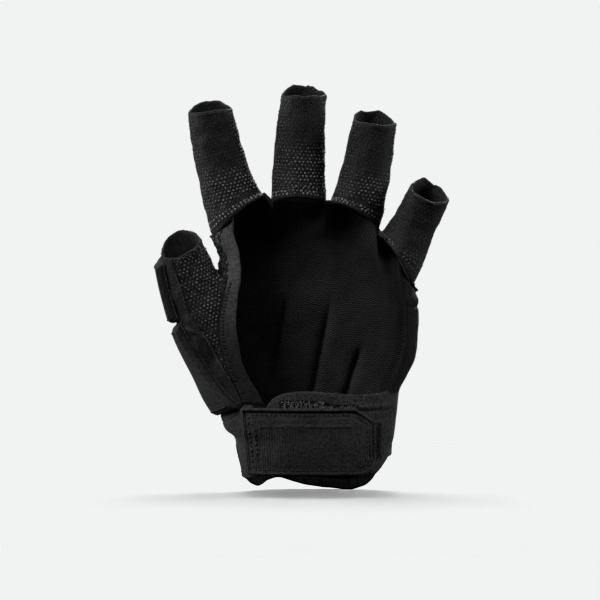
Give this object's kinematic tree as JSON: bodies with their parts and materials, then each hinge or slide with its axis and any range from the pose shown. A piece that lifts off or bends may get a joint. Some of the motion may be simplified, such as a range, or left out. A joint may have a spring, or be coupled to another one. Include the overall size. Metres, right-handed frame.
{
  "type": "field hockey glove",
  "caption": "Left-hand open-palm field hockey glove with open-tipped padded fingers, padded back and a strapped wrist, shown filled as if worn.",
  "frame": {"origin": "middle of the wrist opening, where the hand goes in", "axes": "+Z towards the fingertips, -Y towards the palm side, -X towards the thumb"},
  "size_m": [0.1472, 0.0483, 0.2029],
  "materials": {
    "black_knit": "fine black knit",
    "grip_fabric": "black fabric with raised glossy grip dots",
    "smooth_stretch": "smooth matt stretch fabric over thin foam",
    "foam_cover": "black fabric over moulded foam",
    "strap_cover": "bound and stitched matt fabric",
    "loop_pile": "fuzzy hook and loop tape"
  },
  "bodies": {
    "root": {"back_panel": "black_knit", "closure_flap": "smooth_stretch", "cuff": "smooth_stretch", "hook_tape": "loop_pile", "index_back_pad_1": "foam_cover", "index_back_pad_2": "foam_cover", "index_sleeve": "grip_fabric", "knuckle_pad_index": "foam_cover", "knuckle_pad_little": "foam_cover", "knuckle_pad_middle": "foam_cover", "knuckle_pad_ring": "foam_cover", "little_back_pad_1": "foam_cover", "little_back_pad_2": "foam_cover", "little_sleeve": "grip_fabric", "loop_patch": "loop_pile", "middle_back_pad_1": "foam_cover", "middle_back_pad_2": "foam_cover", "middle_sleeve": "grip_fabric", "ring_back_pad_1": "foam_cover", "ring_back_pad_2": "foam_cover", "ring_sleeve": "grip_fabric", "thumb_pad_lower": "foam_cover", "thumb_pad_upper": "foam_cover", "thumb_side_strip": "smooth_stretch", "thumb_sleeve": "grip_fabric", "ulnar_side_panel": "smooth_stretch", "wrist_strap": "strap_cover"}
  },
  "joints": []
}
